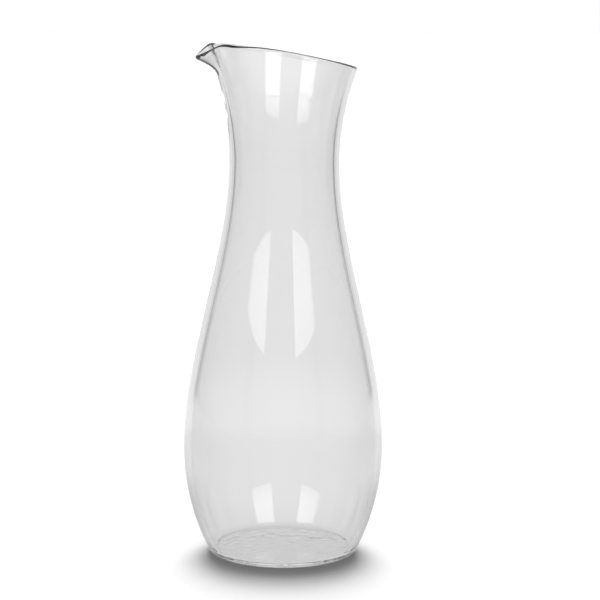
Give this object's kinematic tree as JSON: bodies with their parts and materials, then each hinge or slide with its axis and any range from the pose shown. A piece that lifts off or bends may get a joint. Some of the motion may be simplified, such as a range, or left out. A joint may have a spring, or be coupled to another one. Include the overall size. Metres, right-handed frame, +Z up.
{
  "type": "water carafe",
  "caption": "Clear glass water carafe with a pear-shaped body, a waisted neck, a flared mouth cut on a slant and a pinched pouring spout.",
  "frame": {"origin": "on the vessel's axis, in the plane of the flat foot ring that it stands on", "axes": "+Z up along the vessel's axis; the pouring spout points along -X; the XZ plane is the plane of mirror symmetry"},
  "size_m": [0.103, 0.103, 0.2635],
  "materials": {
    "clear_glass": "smooth, clear, fire-polished rim"
  },
  "bodies": {
    "root": {"glass_vessel": "clear_glass"}
  },
  "joints": []
}
